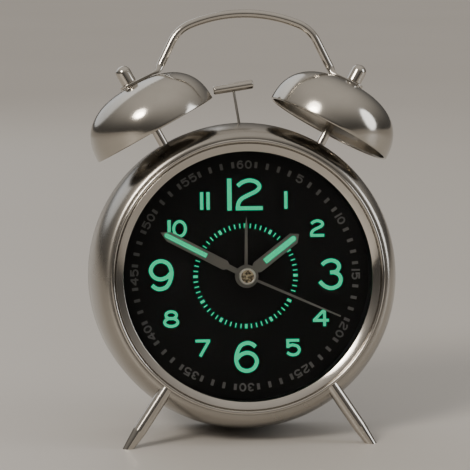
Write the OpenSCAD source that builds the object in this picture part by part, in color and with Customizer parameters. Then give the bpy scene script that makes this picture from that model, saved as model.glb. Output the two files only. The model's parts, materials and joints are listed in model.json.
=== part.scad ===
// Twin-bell alarm clock on two splayed legs, leaning back on its rear edge.
// Local clock frame: x to the right, y up the dial, z out towards the reader,
// zero on the dial axis at the front of the bezel bead.
// World frame: front towards -Y, up is +Z, origin under the middle of the box.

/* [Stance] */
// Lean of the dial back from upright, degrees
lean = 7.6; // [4:0.1:12]

/* [Case] */
// Outer radius of the drum
case_r = 60; // [56:0.5:70]
// Bezel plane to the rear face of the back cover
case_d = 44; // [42:0.5:60]
// Sheet thickness of the drum
wall = 1; // [0.8:0.1:1.6]
// Axial length of the rounded front shoulder
shoulder_d = 20.4; // [8:0.2:24]
// Radius where the shoulder starts behind the bezel
lip_r = 53.3; // [52:0.1:55]

/* [Bezel] */
// Radius of the opening the dial is seen through
window_r = 48.3; // [44:0.1:49]
// Radius of the bead centre line
bead_r = 52.4; // [51:0.1:54]
// Radius of the bead section
bead_s = 0.7; // [0.4:0.05:1]

/* [Bells] */
// Rim radius outside
bell_r = 25.6; // [20:0.1:28]
// Height from the rim to the crown
bell_h = 19.8; // [15:0.1:24]
// Sheet thickness
bell_t = 1; // [0.8:0.1:1.4]
// Squareness of the side curve
bell_power = 2.5; // [2:0.1:3.5]
// Rim centre sideways from the dial axis
bell_x = 33.95; // [32:0.05:38]
// Rim centre above the dial axis
bell_y = 57.1; // [56:0.1:64]
// Rim centre behind the bezel plane
bell_z = 17.9; // [14:0.1:24]
// Tilt of each bell away from upright
bell_tilt = 28.9; // [26:0.1:32]

/* [Handle] */
// Rod radius
handle_rod = 1.65; // [1.2:0.05:2.2]
// Crown height of the rod centre above the dial axis
handle_y = 102.5; // [96:0.5:112]
// Radius of the long crown arc
handle_crown_r = 57; // [45:0.5:80]
// Radius of the two corner arcs
handle_corner_r = 14; // [10:0.5:18]
// Slope of the straight legs below level
handle_slope = 63.8; // [60:0.1:70]
// Half width between the straight legs at the gauge height
handle_half = 30.1; // [28:0.1:32]
// Gauge height of that half width
handle_gauge = 88.5; // [86:0.1:92]
// Sideways set of the arch on the bells
handle_shift = 1.2; // [0:0.1:2]

/* [Legs] */
// Leg radius
leg_r = 2.6; // [2:0.1:3.5]
// Radius at the foot
foot_r = 1.9; // [1.2:0.1:2.2]
// Length of the tapered end
taper_l = 8; // [6:0.5:14]
// Splay from the dial's vertical
leg_splay = 33.7; // [30:0.1:38]
// Foot sideways from the dial axis
foot_x = 47.2; // [44:0.1:52]
// Leg axis behind the bezel plane
leg_z = 3.4; // [3.2:0.1:4]

/* [Hammer] */
// Pivot above the dial axis
pivot_y = 44; // [43:0.5:46]
// Distance of the hammer pivot to the right of the centre line
pivot_x = 1.2; // [0:0.1:2]
// Pivot to the middle of the head
hammer_l = 30.1; // [29:0.1:31]
// Head radius
head_r = 1.75; // [1.2:0.05:2.2]
// Head length
head_l = 15.8; // [13:0.1:16.5]
// Lean towards the left bell at rest, degrees
hammer_lean = 8.9; // [6:0.1:10]

/* [Hands] */
// Hour hand reach
hour_l = 26.3; // [20:0.1:30]
// Minute hand reach
minute_l = 37.6; // [30:0.1:40]
// Second hand reach
second_l = 39.8; // [30:0.1:42]
// Alarm hand reach
alarm_l = 22.8; // [16:0.1:26]
// Hour hand, clockwise from the top
hour_at = 52.3; // [0:0.1:360]
// Minute hand, clockwise from the top
minute_at = 297.6; // [0:0.1:360]
// Second hand, clockwise from the top
second_at = 113.8; // [0:0.1:360]
// Alarm hand, clockwise from the top
alarm_at = 1; // [0:0.1:360]

/* [Knobs] */
// Radius of both setting knobs
knob_r = 5; // [4:0.25:6]
// Height of both setting knobs
knob_h = 5.5; // [4:0.25:7]

/* [Hidden] */
$fn = 64;
big = 200;
fit = 0.05;
gap = 0.3;

// Stance
s_lean = sin(lean);
c_lean = cos(lean);
edge_round = 0.7;
stand_h = (case_r - edge_round) * c_lean + (case_d - edge_round) * s_lean + edge_round;
back_y = (case_r - edge_round) * s_lean + (case_d - edge_round) * c_lean + edge_round;
front_y = -bead_r * s_lean + bead_s * c_lean - bead_s;
stand_y = (back_y + front_y) / 2;

// Case and cover stations, as depths behind the bezel plane
lip_z = 1.5;
steps = 14;
cover_z = case_d - 1.5;
spigot_l = 4.5;
spigot_t = 1.5;
screw_ring = 54;
screw_angles = [90, 210, 330];
screw_r = 1.4;
slot_w = 9;
slot_t = 3.4;

// Bezel, lens and dial stations
skirt_r = 51.7;
skirt_in = 50.7;
lens_r = 50.55;
lens_z = 2.7;
lens_t = 1.8;
spacer_z = lens_z + lens_t + fit;
dial_z = 12.7;
dial_t = 0.8;
crimp_r = 49.4;
crimp_t = 0.8;
dial_hole = 4.1;

// Bell stack, as heights above the rim centre
post_r = 1.85;
bolt_r = 1.45;
post_low = -6.35;
tab_t = 1.15;
tab_low = bell_h + fit;
tab_high = tab_low + tab_t;
nut_r = 3;
nut_low = tab_high + fit;
nut_side = 4.6;
bolt_top = nut_low + nut_side + 0.3;
bolt_head_high = -7.8;
bolt_head_t = 2.2;
bolt_head_r = 2.8;

// Handle construction
rod_lift = tab_high + 0.05;
tab_w = 6.4;
bend_r = 4;
joint_gap = 0.1;
collar_l = 0.6;

// Leg construction
foot_depth = (stand_h - leg_z * s_lean) / c_lean;
stud_r = 1.5;
stud_in = 27.4;
boss_r = 3.2;
boss_in = 28;

// Hammer and ringer
pin_r = 0.9;
stem_r = 0.5;
hub_r = 2.4;
hub_t = 3;
arm_reach = 13;
cheek_t = 1;
cheek_gap = 0.35;
bracket_w = 8;
coil_x = 10.5;
coil_r = 4;
coil_h = 7;
core_r = 1.5;

// Movement box
box_w = 54;
box_low = -24;
box_high = 28;
box_t = 1.2;
box_front = 13.9;
box_split = 21.2;
box_back = 32.2;
post_x = 23.3;
post_low_y = -20.3;
post_high_y = 24.3;
ear_x = 31;
foot_pin_r = 1.2;

// Wheel planes, as depths of the front face behind the bezel plane
alarm_plane = 15.5;
hour_plane = 16.9;
motion_plane = 18.3;
plate_plane = 19.7;
centre_plane = 20.9;
third_plane = 22.3;
second_plane = 23.7;
step_plane = 24.9;
magnet_plane = 26.1;
wheel_t = 1;
thin_t = 0.8;
plate_t = 0.8;

// Wheel pitches, tooth counts and centres
second_m = 0.3;
step_m = 0.25;
third_m = 0.4;
motion_m = 0.35;
alarm_m = 0.4;
second_teeth = 60;
step_teeth = 50;
step_leaves = 10;
rotor_leaves = 10;
second_leaves = 8;
third_teeth = 60;
third_leaves = 8;
centre_teeth = 64;
cannon_teeth = 15;
minute_teeth = 45;
minute_leaves = 12;
hour_teeth = 48;
set_teeth = 15;
alarm_teeth = 60;
alarm_leaves = 20;
third_gap = (third_teeth + second_leaves) * third_m / 2;
centre_m = 2 * third_gap / (centre_teeth + third_leaves);
motion_gap = (cannon_teeth + minute_teeth) * motion_m / 2;
alarm_gap = (alarm_teeth + alarm_leaves) * alarm_m / 2;
step_gap = (second_teeth + step_leaves) * second_m / 2;
rotor_gap = (step_teeth + rotor_leaves) * step_m / 2;
third_dir = 90;
motion_dir = -30;
alarm_dir = 210;
step_dir = 250;
rotor_dir = 330;
third_at = polar(third_gap, third_dir);
minute_wheel_at = polar(motion_gap, motion_dir);
set_at = 2 * minute_wheel_at;
alarm_set_at = polar(alarm_gap, alarm_dir);
step_at = polar(step_gap, step_dir);
rotor_at = step_at + polar(rotor_gap, rotor_dir);

// Arbors and tubes
shaft_r = 0.5;
minute_tube_in = 0.6;
minute_tube_r = 1.2;
hour_tube_in = 1.3;
hour_tube_r = 1.9;
alarm_tube_in = 2;
alarm_tube_r = 2.6;
boss_in_r = 2.7;
boss_out_r = 4;
stud_pin_r = 0.6;
stem_pin_r = 1;
magnet_r = 2.4;

// Hand planes, as depths of the front face
alarm_hand_z = 11.2;
hour_hand_z = 9.8;
minute_hand_z = 8.4;
second_hand_z = 6.9;
hand_t = 0.4;
cap_z = 5.5;

// Battery bay
cell_r = 7.2;
cell_l = 50.4;
bay_y = -42;
bay_in_l = 53.4;
bay_in_w = 15.6;
bay_t = 1.2;
bay_front = 27;
door_w = 56;
door_h = 17.2;
door_t = 1;

// Alarm switch
switch_x = 20;
switch_y = 22;
switch_travel = 5;
switch_stem_w = 3;

// Tooth form: pressure angle, tip and root heights in modules, flank thinning
pressure = 25;
tip_k = 0.7;
root_k = 0.95;
thin_k = 0.05;
bore_sides = 12;

// ---- Helpers ----------------------------------------------------------------

function polar(r, a) = [r * cos(a), r * sin(a)];

// Stands the local clock frame on the table.
module stand() {
    translate([0, -stand_y, stand_h])
        rotate([90 - lean, 0, 0])
            children();
}

// Frame of one bell: +Z runs up the bell axis from the rim centre.
module bell_frame(side) {
    translate([side * bell_x, bell_y, -bell_z])
        rotate([0, 0, -side * bell_tilt])
            rotate([-90, 0, 0])
                children();
}

// Frame of one leg: +Z runs up the leg axis from the foot centre.
module leg_frame(side) {
    translate([side * foot_x, -foot_depth, -leg_z])
        rotate([0, 0, side * leg_splay])
            rotate([-90, 0, 0])
                children();
}

// A slab whose front face is at depth z_front and whose rear is t behind it.
module slab(z_front, t) {
    translate([0, 0, -z_front - t])
        linear_extrude(t)
            children();
}

// A round bar along the dial axis between two depths.
module bar(r, z_front, z_back) {
    translate([0, 0, -z_back])
        cylinder(h = z_back - z_front, r = r);
}

module tube(r_out, r_in, z_front, z_back) {
    difference() {
        bar(r_out, z_front, z_back);
        bar(r_in, z_front - 1, z_back + 1);
    }
}

module at(p) {
    translate([p[0], p[1], 0])
        children();
}

// Turns a hand clockwise from the top of the dial.
module clockwise(a) {
    rotate([0, 0, -a])
        children();
}

// ---- Toothed wheels ---------------------------------------------------------

function unwind(base, r) = sqrt(max(0, r * r / (base * base) - 1));
function involute(base, r) = unwind(base, r) * 180 / PI - atan(unwind(base, r));

// Half the angle one tooth fills at radius r.
function tooth_half(m, n, r) =
    let (base = m * n / 2 * cos(pressure))
    90 / n - thin_k * 2 / n * 180 / PI + involute(base, m * n / 2) - involute(base, max(r, base));

// Radii of the flank points from the root to the tip.
function flank(m, n) =
    let (root = m * (n / 2 - root_k), tip = m * (n / 2 + tip_k), base = m * n / 2 * cos(pressure))
    let (low = max(root, base))
    concat(root < base ? [root] : [], [for (i = [0:3]) low + (tip - low) * i / 3]);

function tooth(m, n, a) =
    let (f = flank(m, n), last = len(f) - 1)
    concat([for (i = [0:last]) polar(f[i], a - tooth_half(m, n, f[i]))],
        [for (i = [last:-1:0]) polar(f[i], a + tooth_half(m, n, f[i]))]);

function wheel_outline(m, n, phase) =
    [for (i = [0:n - 1]) each tooth(m, n, phase + 360 * i / n)];

// Phase of the second wheel so that a gap of it faces a tooth of the first.
function mesh_phase(dir, n1, phase1, n2) = dir + 180 + (180 - n1 * (phase1 - dir)) / n2;

module wheel(m, n, phase, z_front, t, bore) {
    slab(z_front, t)
        difference() {
            polygon(wheel_outline(m, n, phase));
            circle(r = bore / cos(180 / bore_sides), $fn = bore_sides);
        }
}

// Lightening holes of the larger wheels.
module spoked_wheel(m, n, phase, z_front, t, bore, hole_r, hole_at) {
    slab(z_front, t)
        difference() {
            polygon(wheel_outline(m, n, phase));
            circle(r = bore / cos(180 / bore_sides), $fn = bore_sides);
            for (a = [0:72:288])
                rotate(a)
                    translate([hole_at, 0])
                        circle(r = hole_r, $fn = 8);
        }
}

second_phase = 0;
step_leaf_phase = mesh_phase(step_dir, second_teeth, second_phase, step_leaves);
rotor_phase = mesh_phase(rotor_dir, step_teeth, 0, rotor_leaves);
third_phase = mesh_phase(third_dir, second_leaves, 0, third_teeth);
centre_phase = mesh_phase(third_dir + 180, third_leaves, 0, centre_teeth);
minute_phase = mesh_phase(motion_dir, cannon_teeth, 0, minute_teeth);
set_phase = mesh_phase(motion_dir, minute_teeth, minute_phase, set_teeth);
hour_phase = mesh_phase(motion_dir + 180, minute_leaves, 0, hour_teeth);
alarm_set_phase = mesh_phase(alarm_dir, alarm_teeth, 0, alarm_leaves);

// ---- Case -------------------------------------------------------------------

// Shoulder curve from the lip out to a drum radius.
function shoulder(r_out, z_front, depth) =
    [for (i = [0:steps]) [lip_r + (r_out - lip_r) * sin(90 * i / steps),
        -z_front - depth * (1 - cos(90 * i / steps))]];

module case_solid(grow) {
    rotate_extrude()
        polygon(concat([[0, -lip_z + grow]],
            shoulder(case_r + grow, lip_z - grow, shoulder_d), [[case_r + grow, -cover_z], [0, -cover_z]]));
}

module case_hollow() {
    rotate_extrude()
        polygon(concat([[0, -lip_z - wall]],
            shoulder(case_r - wall, lip_z + wall, shoulder_d - wall),
            [[case_r - wall, -cover_z - 1], [0, -cover_z - 1]]));
}

module case_lugs() {
    intersection() {
        for (a = screw_angles)
            rotate([0, 0, a])
                translate([screw_ring - 3.5, -3.5, -cover_z + spigot_l + gap])
                    cube([9.2, 7, 4]);
        bar(case_r - wall / 2, lip_z, cover_z);
    }
}

module leg_bosses() {
    intersection() {
        for (side = [-1, 1])
            leg_frame(side)
                translate([0, 0, 18])
                    cylinder(h = boss_in - 18, r = boss_r);
        rotate_extrude()
            polygon(concat([[lip_r - 1, -lip_z - wall / 2]],
                shoulder(case_r - wall / 2, lip_z + wall / 2, shoulder_d - wall / 2),
                [[case_r - wall / 2, -cover_z], [lip_r - 1, -cover_z]]));
    }
}

module case_shell() {
    color([0.7, 0.69, 0.67])
        stand()
            difference() {
                union() {
                    difference() {
                        case_solid(0);
                        case_hollow();
                        bar(skirt_r + fit, 0, lip_z + 3);
                    }
                    case_lugs();
                    leg_bosses();
                }
                for (side = [-1, 1])
                    bell_frame(side)
                        translate([0, 0, bolt_head_high - 1])
                            cylinder(h = 4, r = bolt_r + fit);
                for (side = [-1, 1])
                    leg_frame(side)
                        translate([0, 0, 15])
                            cylinder(h = 20, r = stud_r + fit);
                for (a = screw_angles)
                    at(polar(screw_ring, a))
                        bar(screw_r + fit, cover_z - spigot_l - 8, cover_z + 1);
                translate([pivot_x / 2 - slot_w / 2, pivot_y + 8, -bell_z - slot_t / 2])
                    cube([slot_w, 20, slot_t]);
            }
}

module bezel_ring() {
    color([0.78, 0.77, 0.75])
        stand()
            union() {
                rotate_extrude()
                    polygon([[window_r, -lens_z + fit], [window_r, -1.6], [bead_r - bead_s - 0.45, -0.35],
                        [bead_r - bead_s - 0.25, -0.95], [bead_r, -0.95], [bead_r, -lip_z + fit],
                        [skirt_r, -lip_z + fit], [skirt_r, -dial_z - dial_t - fit - crimp_t],
                        [crimp_r, -dial_z - dial_t - fit - crimp_t], [crimp_r, -dial_z - dial_t - fit],
                        [skirt_in, -dial_z - dial_t - fit], [skirt_in, -lens_z + fit]]);
                rotate_extrude()
                    translate([bead_r, -bead_s])
                        circle(r = bead_s);
            }
}

module lens() {
    color([0.85, 0.9, 0.92, 0.3])
        stand()
            bar(lens_r, lens_z, lens_z + lens_t);
}

module dial_spacer_ring() {
    color([0.06, 0.06, 0.06])
        stand()
            tube(lens_r, window_r + 0.2, spacer_z, dial_z - fit);
}

module dial_plate() {
    color([0.04, 0.04, 0.045])
        stand() {
            difference() {
                bar(lens_r, dial_z, dial_z + dial_t);
                bar(dial_hole, dial_z - 1, dial_z + dial_t + 1);
            }
            for (side = [-1, 1])
                at([side * ear_x, 2])
                    bar(foot_pin_r, dial_z + dial_t / 2, box_front + box_t + 2);
        }
}

// ---- Bells, posts, bolts and nuts -------------------------------------------

function bell_curve(r, h) =
    [for (i = [0:steps]) [r * pow(sin(90 * i / steps), 2 / bell_power),
        h * pow(cos(90 * i / steps), 2 / bell_power)]];

module bell(side) {
    stand()
        bell_frame(side)
            difference() {
                rotate_extrude()
                    polygon(concat(bell_curve(bell_r, bell_h), [[bell_r - bell_t, 0]],
                        [for (i = [steps - 1:-1:0]) bell_curve(bell_r - bell_t, bell_h - bell_t)[i]]));
                translate([0, 0, bell_h - bell_t - 1])
                    cylinder(h = bell_t + 2, r = bolt_r + fit);
            }
}

module bell_left() {
    color([0.8, 0.79, 0.77])
        bell(-1);
}

module bell_right() {
    color([0.8, 0.79, 0.77])
        bell(1);
}

module bell_posts() {
    color([0.75, 0.74, 0.72])
        stand()
            for (side = [-1, 1])
                bell_frame(side)
                    translate([0, 0, post_low])
                        difference() {
                            cylinder(h = bell_h - bell_t - fit - post_low, r = post_r);
                            translate([0, 0, -1])
                                cylinder(h = 40, r = bolt_r + fit);
                        }
}

module bell_bolts() {
    color([0.6, 0.6, 0.6])
        stand()
            for (side = [-1, 1])
                bell_frame(side) {
                    translate([0, 0, bolt_head_high - 0.5])
                        cylinder(h = bolt_top - bolt_head_high + 0.5, r = bolt_r);
                    translate([0, 0, bolt_head_high - bolt_head_t])
                        cylinder(h = bolt_head_t, r = bolt_head_r, $fn = 6);
                }
}

module cap_nuts() {
    color([0.8, 0.79, 0.77])
        stand()
            for (side = [-1, 1])
                bell_frame(side)
                    translate([0, 0, nut_low])
                        difference() {
                            union() {
                                cylinder(h = nut_side, r = nut_r);
                                translate([0, 0, nut_side])
                                    intersection() {
                                        sphere(r = nut_r);
                                        cylinder(h = nut_r + 1, r = nut_r + 1);
                                    }
                            }
                            translate([0, 0, -1])
                                cylinder(h = nut_side + 1.5, r = bolt_r + fit);
                        }
}

// ---- Handle -----------------------------------------------------------------

// Rod pieces stop a little short of each joint and a collar bridges them.
module rod_arc(c, r, from, to) {
    short = joint_gap / r * 180 / PI;
    translate([c[0], c[1], 0])
        rotate([0, 0, from + short])
            rotate_extrude(angle = to - from - 2 * short)
                translate([r, 0])
                    circle(r = handle_rod);
}

module rod_line(p, q) {
    translate([p[0], p[1], 0])
        rotate([0, 0, atan2(q[1] - p[1], q[0] - p[0])])
            rotate([0, 90, 0])
                translate([0, 0, joint_gap])
                    cylinder(h = norm(q - p) - 2 * joint_gap, r = handle_rod);
}

module rod_joint(p, slope) {
    translate([p[0], p[1], 0])
        rotate([0, 0, -slope])
            rotate([0, 90, 0])
                translate([0, 0, -collar_l / 2])
                    cylinder(h = collar_l, r = handle_rod + 0.02);
}

leg_normal = [sin(handle_slope), cos(handle_slope)];
leg_dir = [cos(handle_slope), -sin(handle_slope)];
tab_normal = [sin(bell_tilt), cos(bell_tilt)];
tab_dir = [cos(bell_tilt), -sin(bell_tilt)];
crown_turn = handle_slope - acos((leg_normal * [handle_half, handle_gauge] - handle_corner_r
    - leg_normal[1] * (handle_y - handle_crown_r)) / (handle_crown_r - handle_corner_r));

// One half of the arch is drawn as the right side, with its arch set sideways by o.
function crown_centre(o) = [o, handle_y - handle_crown_r];
function corner_centre(o) =
    crown_centre(o) + (handle_crown_r - handle_corner_r) * [sin(crown_turn), cos(crown_turn)];
function corner_end(o) = corner_centre(o) + handle_corner_r * leg_normal;
function tab_start() = [bell_x, bell_y] + rod_lift * tab_normal;
function knee(o) =
    corner_end(o) - tab_normal * (corner_end(o) - tab_start()) / (tab_normal * leg_dir) * leg_dir;
bend_cut = bend_r * tan((handle_slope - bell_tilt) / 2);
function bend_start(o) = knee(o) - bend_cut * leg_dir;
function tab_reach(o) = norm(knee(o) - tab_start()) - bend_cut + 0.4;

module handle_half_rod(o) {
    rod_joint(crown_centre(o) + handle_crown_r * [sin(crown_turn), cos(crown_turn)], crown_turn);
    rod_arc(corner_centre(o), handle_corner_r, 90 - handle_slope, 90 - crown_turn);
    rod_joint(corner_end(o), handle_slope);
    rod_line(corner_end(o), bend_start(o));
    rod_joint(bend_start(o), handle_slope);
    rod_arc(bend_start(o) + bend_r * leg_normal, bend_r, 270 - handle_slope, 270 - bell_tilt);
}

module handle() {
    color([0.78, 0.77, 0.75])
        stand() {
            translate([0, 0, -bell_z]) {
                rod_arc(crown_centre(handle_shift), handle_crown_r, 90 - crown_turn, 90 + crown_turn);
                handle_half_rod(handle_shift);
            }
            translate([0, 0, -bell_z])
                mirror([1, 0, 0])
                    handle_half_rod(-handle_shift);
            for (side = [-1, 1])
                bell_frame(side)
                    difference() {
                        union() {
                            translate([0, 0, tab_low])
                                cylinder(h = tab_t, r = tab_w / 2 + 1);
                            translate([min(0, -side * tab_reach(side * handle_shift)), -tab_w / 2, tab_low])
                                cube([tab_reach(side * handle_shift), tab_w, tab_t]);
                        }
                        translate([0, 0, tab_low - 1])
                            cylinder(h = tab_t + 2, r = bolt_r + fit);
                    }
        }
}

// ---- Legs -------------------------------------------------------------------

module leg(side) {
    difference() {
        stand() {
            difference() {
                leg_frame(side) {
                    translate([0, 0, -4])
                        cylinder(h = 4 + taper_l, r1 = foot_r - (leg_r - foot_r) * 4 / taper_l, r2 = leg_r);
                    translate([0, 0, taper_l])
                        cylinder(h = boss_in - taper_l, r = leg_r);
                }
                case_solid(fit);
                bar(bead_r + bead_s + fit, -1, lip_z + 1);
            }
            leg_frame(side)
                translate([0, 0, taper_l])
                    cylinder(h = stud_in - taper_l, r = stud_r);
        }
        translate([-big / 2, -big / 2, -20])
            cube([big, big, 20]);
    }
}

module leg_left() {
    color([0.76, 0.75, 0.73])
        leg(-1);
}

module leg_right() {
    color([0.76, 0.75, 0.73])
        leg(1);
}

// ---- Back cover, battery bay and switch -------------------------------------

module bay_outline(grow) {
    translate([-bay_in_l / 2 - grow, bay_y - bay_in_w / 2 - grow])
        square([bay_in_l + 2 * grow, bay_in_w + 2 * grow]);
}

module back_cover() {
    color([0.08, 0.08, 0.08])
        stand()
            difference() {
                union() {
                    bar(case_r - edge_round, cover_z, case_d);
                    bar(case_r, cover_z, case_d - edge_round);
                    rotate_extrude()
                        translate([case_r - edge_round, -case_d + edge_round])
                            intersection() {
                                circle(r = edge_round);
                                square(2 * edge_round, center = true);
                            }
                    tube(case_r - wall - fit, case_r - wall - fit - spigot_t, cover_z - spigot_l, cover_z);
                    slab(bay_front, cover_z - bay_front)
                        bay_outline(bay_t);
                }
                slab(bay_front + bay_t, case_d)
                    bay_outline(0);
                slab(case_d - door_t - fit, 5)
                    translate([-door_w / 2 - fit, bay_y - door_h / 2 - fit])
                        square([door_w + 2 * fit, door_h + 2 * fit]);
                at(set_at)
                    bar(stem_pin_r + fit, cover_z - 5, case_d + 5);
                at(alarm_set_at)
                    bar(stem_pin_r + fit, cover_z - 5, case_d + 5);
                for (a = screw_angles)
                    at(polar(screw_ring, a))
                        bar(screw_r + fit, cover_z - 8, case_d + 5);
                slab(cover_z - 1, 5)
                    translate([switch_x - switch_stem_w / 2 - gap, switch_y - 1 - gap])
                        square([switch_travel + switch_stem_w + 2 * gap, 2 + 2 * gap]);
            }
}

module back_cover_screws() {
    color([0.6, 0.6, 0.62])
        stand()
            for (a = screw_angles)
                at(polar(screw_ring, a))
                    difference() {
                        union() {
                            bar(screw_r, cover_z - spigot_l - 5, case_d + 0.5);
                            bar(2.6, case_d + fit, case_d + 1.4);
                        }
                        for (turn = [0, 90])
                            rotate([0, 0, turn])
                                translate([-1.6, -0.3, -case_d - 3])
                                    cube([3.2, 0.6, 2.4]);
                    }
}

module battery_door() {
    color([0.09, 0.09, 0.09])
        stand() {
            slab(case_d - door_t, door_t)
                translate([-door_w / 2, bay_y - door_h / 2])
                    square([door_w, door_h]);
            for (y = [-2.4:1.6:2.4])
                slab(case_d - 0.1, 0.7)
                    translate([-6, bay_y + y - 0.4])
                        square([12, 0.8]);
        }
}

module battery_cell() {
    color([0.25, 0.27, 0.3])
        stand()
            translate([-cell_l / 2, bay_y, -bay_front - bay_t - cell_r - 0.3])
                rotate([0, 90, 0]) {
                    cylinder(h = cell_l - 1.2, r = cell_r);
                    cylinder(h = cell_l, r = 2.7);
                }
}

module battery_contacts() {
    color([0.75, 0.75, 0.72])
        stand()
            for (side = [-1, 1])
                translate([side * (bay_in_l / 2 - 0.25) - 0.2, bay_y - 4.5, -bay_front - bay_t - 13]) {
                    cube([0.4, 9, 12.6]);
                    translate([-side * 0.45, 2.5, 3.5])
                        cube([0.8, 4, 5]);
                }
}

module alarm_switch_slider() {
    color([0.12, 0.12, 0.12])
        stand() {
            slab(cover_z - 1.4, case_d - cover_z + 2.2)
                translate([switch_x - switch_stem_w / 2, switch_y - 1])
                    square([switch_stem_w, 2]);
            slab(case_d + gap, 2)
                translate([switch_x - 3.5, switch_y - 2.5])
                    square([7, 5]);
            for (x = [-2:1:2])
                slab(case_d + gap + 1.9, 0.5)
                    translate([switch_x + x - 0.25, switch_y - 2.5])
                        square([0.5, 5]);
        }
}

module alarm_switch_body() {
    color([0.3, 0.3, 0.32])
        stand()
            difference() {
                slab(cover_z - 5, 5 - fit)
                    translate([switch_x - 4, switch_y - 4])
                        square([switch_travel + 8, 8]);
                slab(cover_z - 2, 5)
                    translate([switch_x - switch_stem_w / 2 - gap, switch_y - 1 - gap])
                        square([switch_travel + switch_stem_w + 2 * gap, 2 + 2 * gap]);
            }
}

module set_knob(p) {
    at(p)
        difference() {
            union() {
                bar(knob_r, case_d + gap, case_d + gap + knob_h - 1);
                bar(knob_r - 0.8, case_d + gap, case_d + gap + knob_h);
            }
            for (i = [0:17])
                rotate([0, 0, 20 * i])
                    translate([knob_r - 0.35, -0.3, -case_d - gap - knob_h - 1])
                        cube([1, 0.6, knob_h + 0.5]);
            bar(stem_pin_r + fit, case_d, case_d + gap + knob_h - 1.5);
        }
}

module time_set_knob() {
    color([0.1, 0.1, 0.1])
        stand()
            set_knob(set_at);
}

module alarm_set_knob() {
    color([0.1, 0.1, 0.1])
        stand()
            set_knob(alarm_set_at);
}

// ---- Hammer and ringer ------------------------------------------------------

module hammer_frame() {
    stand()
        translate([pivot_x, pivot_y, -bell_z])
            rotate([0, 0, hammer_lean])
                children();
}

module hammer_head() {
    color([0.75, 0.74, 0.72])
        hammer_frame()
            difference() {
                translate([-head_l / 2, hammer_l, 0])
                    rotate([0, 90, 0])
                        cylinder(h = head_l, r = head_r);
                translate([0, hammer_l + 0.5, 0])
                    rotate([90, 0, 0])
                        cylinder(h = 5, r = stem_r + 0.02);
            }
}

module hammer_stem() {
    color([0.7, 0.7, 0.68])
        hammer_frame()
            translate([0, hammer_l + 0.4, 0])
                rotate([90, 0, 0])
                    cylinder(h = hammer_l + 0.4 - hub_r + 0.8, r = stem_r);
}

module hammer_hub() {
    color([0.65, 0.65, 0.62])
        hammer_frame()
            difference() {
                union() {
                    translate([0, 0, -hub_t / 2])
                        cylinder(h = hub_t, r = hub_r);
                    translate([0, -0.6, -hub_t / 2])
                        cube([arm_reach, 1.2, hub_t]);
                }
                translate([0, 0, -hub_t])
                    cylinder(h = 2 * hub_t, r = pin_r + fit);
                translate([0, hub_r + 1, 0])
                    rotate([90, 0, 0])
                        cylinder(h = 1.9, r = stem_r + 0.02);
            }
}

module hammer_bracket() {
    color([0.55, 0.55, 0.55])
        stand() {
            for (side = [-1, 1])
                translate([pivot_x - bracket_w / 2, box_high + fit, -bell_z - cheek_t / 2
                    + side * (hub_t / 2 + cheek_gap + cheek_t / 2)])
                    difference() {
                        cube([bracket_w, pivot_y - box_high + 3, cheek_t]);
                        translate([bracket_w / 2, pivot_y - box_high - fit, -1])
                            cylinder(h = 4, r = pin_r + fit);
                    }
            translate([pivot_x - bracket_w / 2, box_high + fit, -bell_z - hub_t / 2 - cheek_gap - cheek_t])
                difference() {
                    cube([bracket_w + 13, 1.2, hub_t + 2 * (cheek_gap + cheek_t)]);
                    translate([bracket_w / 2 + coil_x, 0.6, hub_t / 2 + cheek_gap + cheek_t])
                        rotate([90, 0, 0])
                            cylinder(h = 4, r = core_r + 0.02, center = true);
                }
        }
}

module hammer_pivot_pin() {
    color([0.7, 0.7, 0.7])
        stand()
            at([pivot_x, pivot_y])
                bar(pin_r, bell_z - hub_t / 2 - cheek_gap - cheek_t - 0.5,
                    bell_z + hub_t / 2 + cheek_gap + cheek_t + 0.5);
}

module ringer_coil() {
    color([0.6, 0.3, 0.12])
        stand()
            translate([pivot_x + coil_x, box_high + 1.2 + 2 * fit, -bell_z])
                rotate([-90, 0, 0])
                    difference() {
                        union() {
                            cylinder(h = coil_h, r = coil_r - 0.6);
                            cylinder(h = 0.7, r = coil_r);
                            translate([0, 0, coil_h - 0.7])
                                cylinder(h = 0.7, r = coil_r);
                        }
                        translate([0, 0, -1])
                            cylinder(h = coil_h + 2, r = core_r + fit);
                    }
}

module ringer_core() {
    color([0.5, 0.5, 0.52])
        stand()
            translate([pivot_x + coil_x, box_high + 0.3, -bell_z])
                rotate([-90, 0, 0])
                    cylinder(h = coil_h + 2, r = core_r);
}

// ---- Hands ------------------------------------------------------------------

// Hand with a narrow neck, a wide blade and a point.
module blade(reach, neck_w, blade_w, blade_from, point_l) {
    polygon([[-neck_w / 2, 0], [-neck_w / 2, blade_from - 1.2], [-blade_w / 2, blade_from],
        [-blade_w / 2, reach - point_l], [0, reach], [blade_w / 2, reach - point_l],
        [blade_w / 2, blade_from], [neck_w / 2, blade_from - 1.2], [neck_w / 2, 0]]);
}

module hand(angle, z_front, t, hub, bore) {
    color([0.6, 0.6, 0.58])
        stand()
            clockwise(angle)
                difference() {
                    union() {
                        slab(z_front, t)
                            children();
                        bar(hub, z_front, z_front + t);
                    }
                    bar(bore + 0.02, z_front - 1, z_front + t + 1);
                }
}

module hour_hand() {
    hand(hour_at, hour_hand_z, hand_t, 4.4, hour_tube_r)
        blade(hour_l, 3.4, 4.7, 5.6, 2.6);
}

module minute_hand() {
    hand(minute_at, minute_hand_z, hand_t, 4.5, minute_tube_r)
        blade(minute_l, 2.1, 3.9, 9.4, 3.6);
}

module second_hand() {
    hand(second_at, second_hand_z, 0.3, 1.6, shaft_r)
        polygon([[-0.6, -9], [-0.3, second_l], [0.3, second_l], [0.6, -9]]);
}

module alarm_hand() {
    hand(alarm_at, alarm_hand_z, hand_t, 4.2, alarm_tube_r)
        polygon([[-0.65, 0], [-0.5, alarm_l - 3.4], [0, alarm_l], [0.5, alarm_l - 3.4], [0.65, 0]]);
}

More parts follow.
